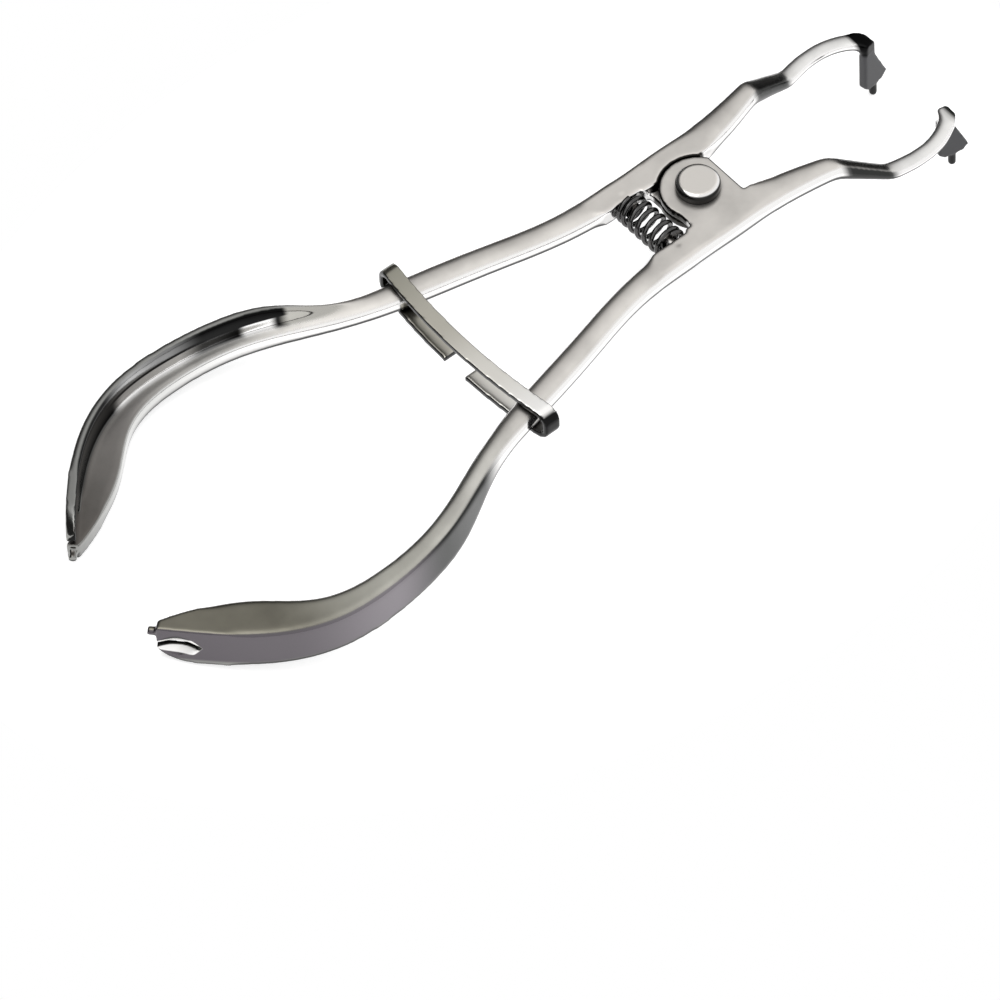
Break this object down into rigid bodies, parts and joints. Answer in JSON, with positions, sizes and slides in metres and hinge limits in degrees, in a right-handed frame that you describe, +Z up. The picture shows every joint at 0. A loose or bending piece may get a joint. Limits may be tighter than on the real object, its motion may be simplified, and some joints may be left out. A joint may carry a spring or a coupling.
{
  "type": "matrix band forceps",
  "caption": "Steel hand forceps with cranked jaws ending in pegged blades, a riveted half-lap joint, a coil spring and a sliding lock ring.",
  "frame": {"origin": "middle of the base of the tool as it lies on a table", "axes": "+X towards the jaws, +Z up from the table, the half-lap joint's rivet tilted as the tool lies"},
  "size_m": [0.1794, 0.0628, 0.0234],
  "materials": {
    "satin_steel": "satin ground",
    "polished_steel": "polished",
    "spring_wire": "bright drawn wire"
  },
  "bodies": {
    "lower": {"lower_arm": "satin_steel", "pivot_rivet": "polished_steel", "coil_spring": "spring_wire", "lower_spring_stud": "polished_steel"},
    "upper": {"upper_arm": "satin_steel", "upper_spring_stud": "polished_steel"},
    "ring": {"lock_ring": "polished_steel"}
  },
  "joints": [
    {"name": "jaw_opening", "type": "hinge", "parent": "lower", "child": "upper", "pos_m": [0.03761, 0, 0.01769], "axis": [-0.1066, 0.1517, 0.9827], "range_deg": [-22, 4.5], "deforming": ["coil_spring"]},
    {"name": "ring_slide", "type": "slide", "parent": "lower", "child": "ring", "axis": [-0.9678, -0.2425, -0.0675], "range_m": [-0.03298, 0.0069]}
  ],
  "couplings": [
    {"joint": "ring_slide", "follows": "jaw_opening", "m_per_rad": 0.085371}
  ]
}
